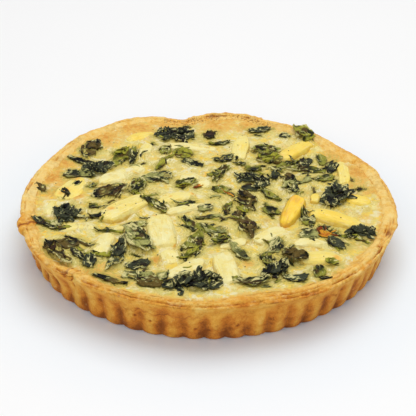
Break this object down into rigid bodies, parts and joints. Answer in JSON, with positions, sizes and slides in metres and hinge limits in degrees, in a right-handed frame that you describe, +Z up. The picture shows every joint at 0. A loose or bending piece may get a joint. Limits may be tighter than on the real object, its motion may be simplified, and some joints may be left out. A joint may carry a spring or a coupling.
{
  "type": "asparagus quiche",
  "caption": "Round open tart in a fluted shortcrust case, filled with baked custard and topped with pieces of white asparagus and wilted greens.",
  "frame": {"origin": "middle of the flat base's plane, under the centre of the object's box", "axes": "+Z up through the custard's top, -Y towards the viewer of the picture, +X to that viewer's right"},
  "size_m": [0.2668, 0.268, 0.0355],
  "materials": {
    "pastry": "matte baked shortcrust, golden brown, darker in the flutes",
    "custard": "satin baked egg custard, pale yellow with golden patches",
    "asparagus": "soft cooked white asparagus, slightly glossy, cream to golden yellow",
    "leaf": "wilted baked leaf, dark green to near black with olive edges"
  },
  "bodies": {
    "root": {"crust": "pastry", "custard": "custard", "asparagus_01": "asparagus", "asparagus_02": "asparagus", "asparagus_03": "asparagus", "asparagus_04": "asparagus", "asparagus_05": "asparagus", "asparagus_06": "asparagus", "asparagus_07": "asparagus", "asparagus_08": "asparagus", "asparagus_09": "asparagus", "asparagus_10": "asparagus", "asparagus_11": "asparagus", "asparagus_12": "asparagus", "asparagus_13": "asparagus", "asparagus_14": "asparagus", "asparagus_15": "asparagus", "asparagus_16": "asparagus", "asparagus_17": "asparagus", "asparagus_18": "asparagus", "asparagus_19": "asparagus", "asparagus_20": "asparagus", "asparagus_21": "asparagus", "asparagus_22": "asparagus", "asparagus_23": "asparagus", "asparagus_24": "asparagus", "asparagus_25": "asparagus", "asparagus_26": "asparagus", "asparagus_27": "asparagus", "asparagus_28": "asparagus", "asparagus_29": "asparagus", "asparagus_30": "asparagus", "leaf_01": "leaf", "leaf_02": "leaf", "leaf_03": "leaf", "leaf_04": "leaf", "leaf_05": "leaf", "leaf_06": "leaf", "leaf_07": "leaf", "leaf_08": "leaf", "leaf_09": "leaf", "leaf_10": "leaf", "leaf_11": "leaf", "leaf_12": "leaf", "leaf_13": "leaf", "leaf_14": "leaf", "leaf_15": "leaf", "leaf_16": "leaf", "leaf_17": "leaf", "leaf_18": "leaf", "leaf_19": "leaf", "leaf_20": "leaf", "leaf_21": "leaf", "leaf_22": "leaf", "leaf_23": "leaf", "leaf_24": "leaf", "leaf_25": "leaf", "leaf_26": "leaf", "leaf_27": "leaf", "leaf_28": "leaf"}
  },
  "joints": []
}
